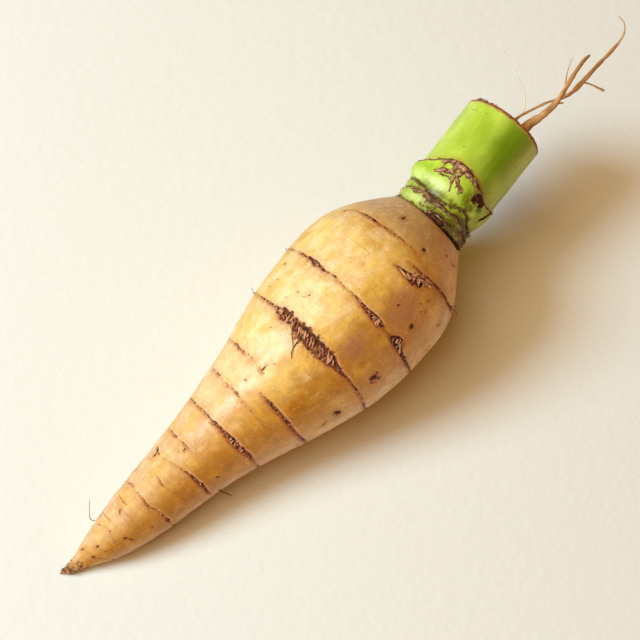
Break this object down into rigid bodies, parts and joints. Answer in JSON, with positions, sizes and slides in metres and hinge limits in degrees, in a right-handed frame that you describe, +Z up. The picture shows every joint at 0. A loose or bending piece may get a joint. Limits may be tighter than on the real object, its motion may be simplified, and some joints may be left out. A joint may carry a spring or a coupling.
{
  "type": "tapering root vegetable with cut green stalk",
  "caption": "Long tapering tan root with ringed scars, lying on its side, with a short cut green leaf stalk, torn sheath collars and dried rootlets.",
  "frame": {"origin": "on the resting surface, on the flat strip pressed into the underside of the thick part of the root", "axes": "+X from the thin tip towards the cut stalk, +Y to the left of that, +Z up from the surface"},
  "size_m": [0.3131, 0.0845, 0.0692],
  "materials": {
    "root_skin": "thin tan-yellow root skin, satin, with rough brown ring scars",
    "stalk_skin": "smooth waxy yellow-green stalk skin",
    "green_sheath": "waxy green leaf sheath with a brown torn edge",
    "dry_sheath": "dry brown-green leaf sheath stub",
    "dried_strand": "dry fibrous tan strand",
    "pale_hair": "dry pale hair",
    "brown_hair": "dry dark brown hair"
  },
  "bodies": {
    "root": {"root": "root_skin", "stalk": "stalk_skin", "sheath_upper": "green_sheath", "sheath_middle": "green_sheath", "sheath_lower": "dry_sheath", "dried_shoot": "dried_strand", "thin_rootlet": "dried_strand", "pale_hair": "pale_hair", "tip_whisker": "brown_hair", "side_whisker": "brown_hair", "curly_rootlet": "brown_hair"}
  },
  "joints": []
}
